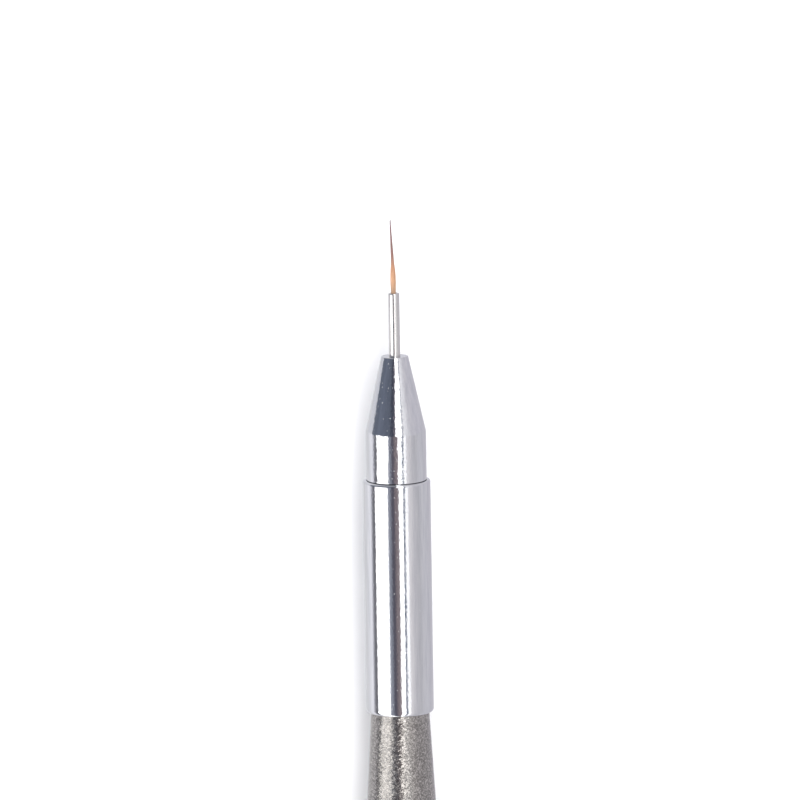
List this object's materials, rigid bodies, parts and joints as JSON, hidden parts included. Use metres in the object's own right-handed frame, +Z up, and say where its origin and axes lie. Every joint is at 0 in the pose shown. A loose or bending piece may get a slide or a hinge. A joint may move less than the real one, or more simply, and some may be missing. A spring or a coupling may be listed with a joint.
{
  "type": "fine detail brush",
  "caption": "Fine liner brush: a springy pointed tuft in a thin tube, a turned cone nose with a cap seat, a plated sleeve and a lacquered belly handle.",
  "frame": {"origin": "bottom centre of the bounding box: on the surface that the brush lies on, under its axis, midway between the point of the hair and the tail of the handle", "axes": "+X along the brush from the tail of the handle to the point of the hair, +Z up from the surface that it lies on, +Y to its left"},
  "size_m": [0.176, 0.0092, 0.0092],
  "materials": {
    "lacquered_wood": "gloss",
    "bright_plating": "polished",
    "polished_steel": "polished",
    "hair": "satin",
    "thread": "matte",
    "epoxy": "gloss"
  },
  "bodies": {
    "brush": {"handle": "lacquered_wood", "ferrule_sleeve": "bright_plating", "nose_cone": "bright_plating", "hair_tube": "polished_steel", "tuft_root": "hair", "binding_thread": "thread", "root_cement": "epoxy", "tube_cement": "epoxy", "tenon_glue": "epoxy"},
    "heel": {"tuft_heel": "hair"},
    "point": {"tuft_point": "hair"}
  },
  "joints": [
    {"name": "tuft_side_bend", "type": "hinge", "parent": "brush", "child": "heel", "pos_m": [0.08065, 0, 0.0046], "axis": [0, 0, 1], "range_deg": [-40, 40], "stiffness_Nm_per_rad": 0.00008},
    {"name": "tuft_lift_bend", "type": "hinge", "parent": "heel", "child": "point", "pos_m": [0.0817, 0, 0.0046], "axis": [0, -1, 0], "range_deg": [-40, 40], "stiffness_Nm_per_rad": 0.00008}
  ]
}
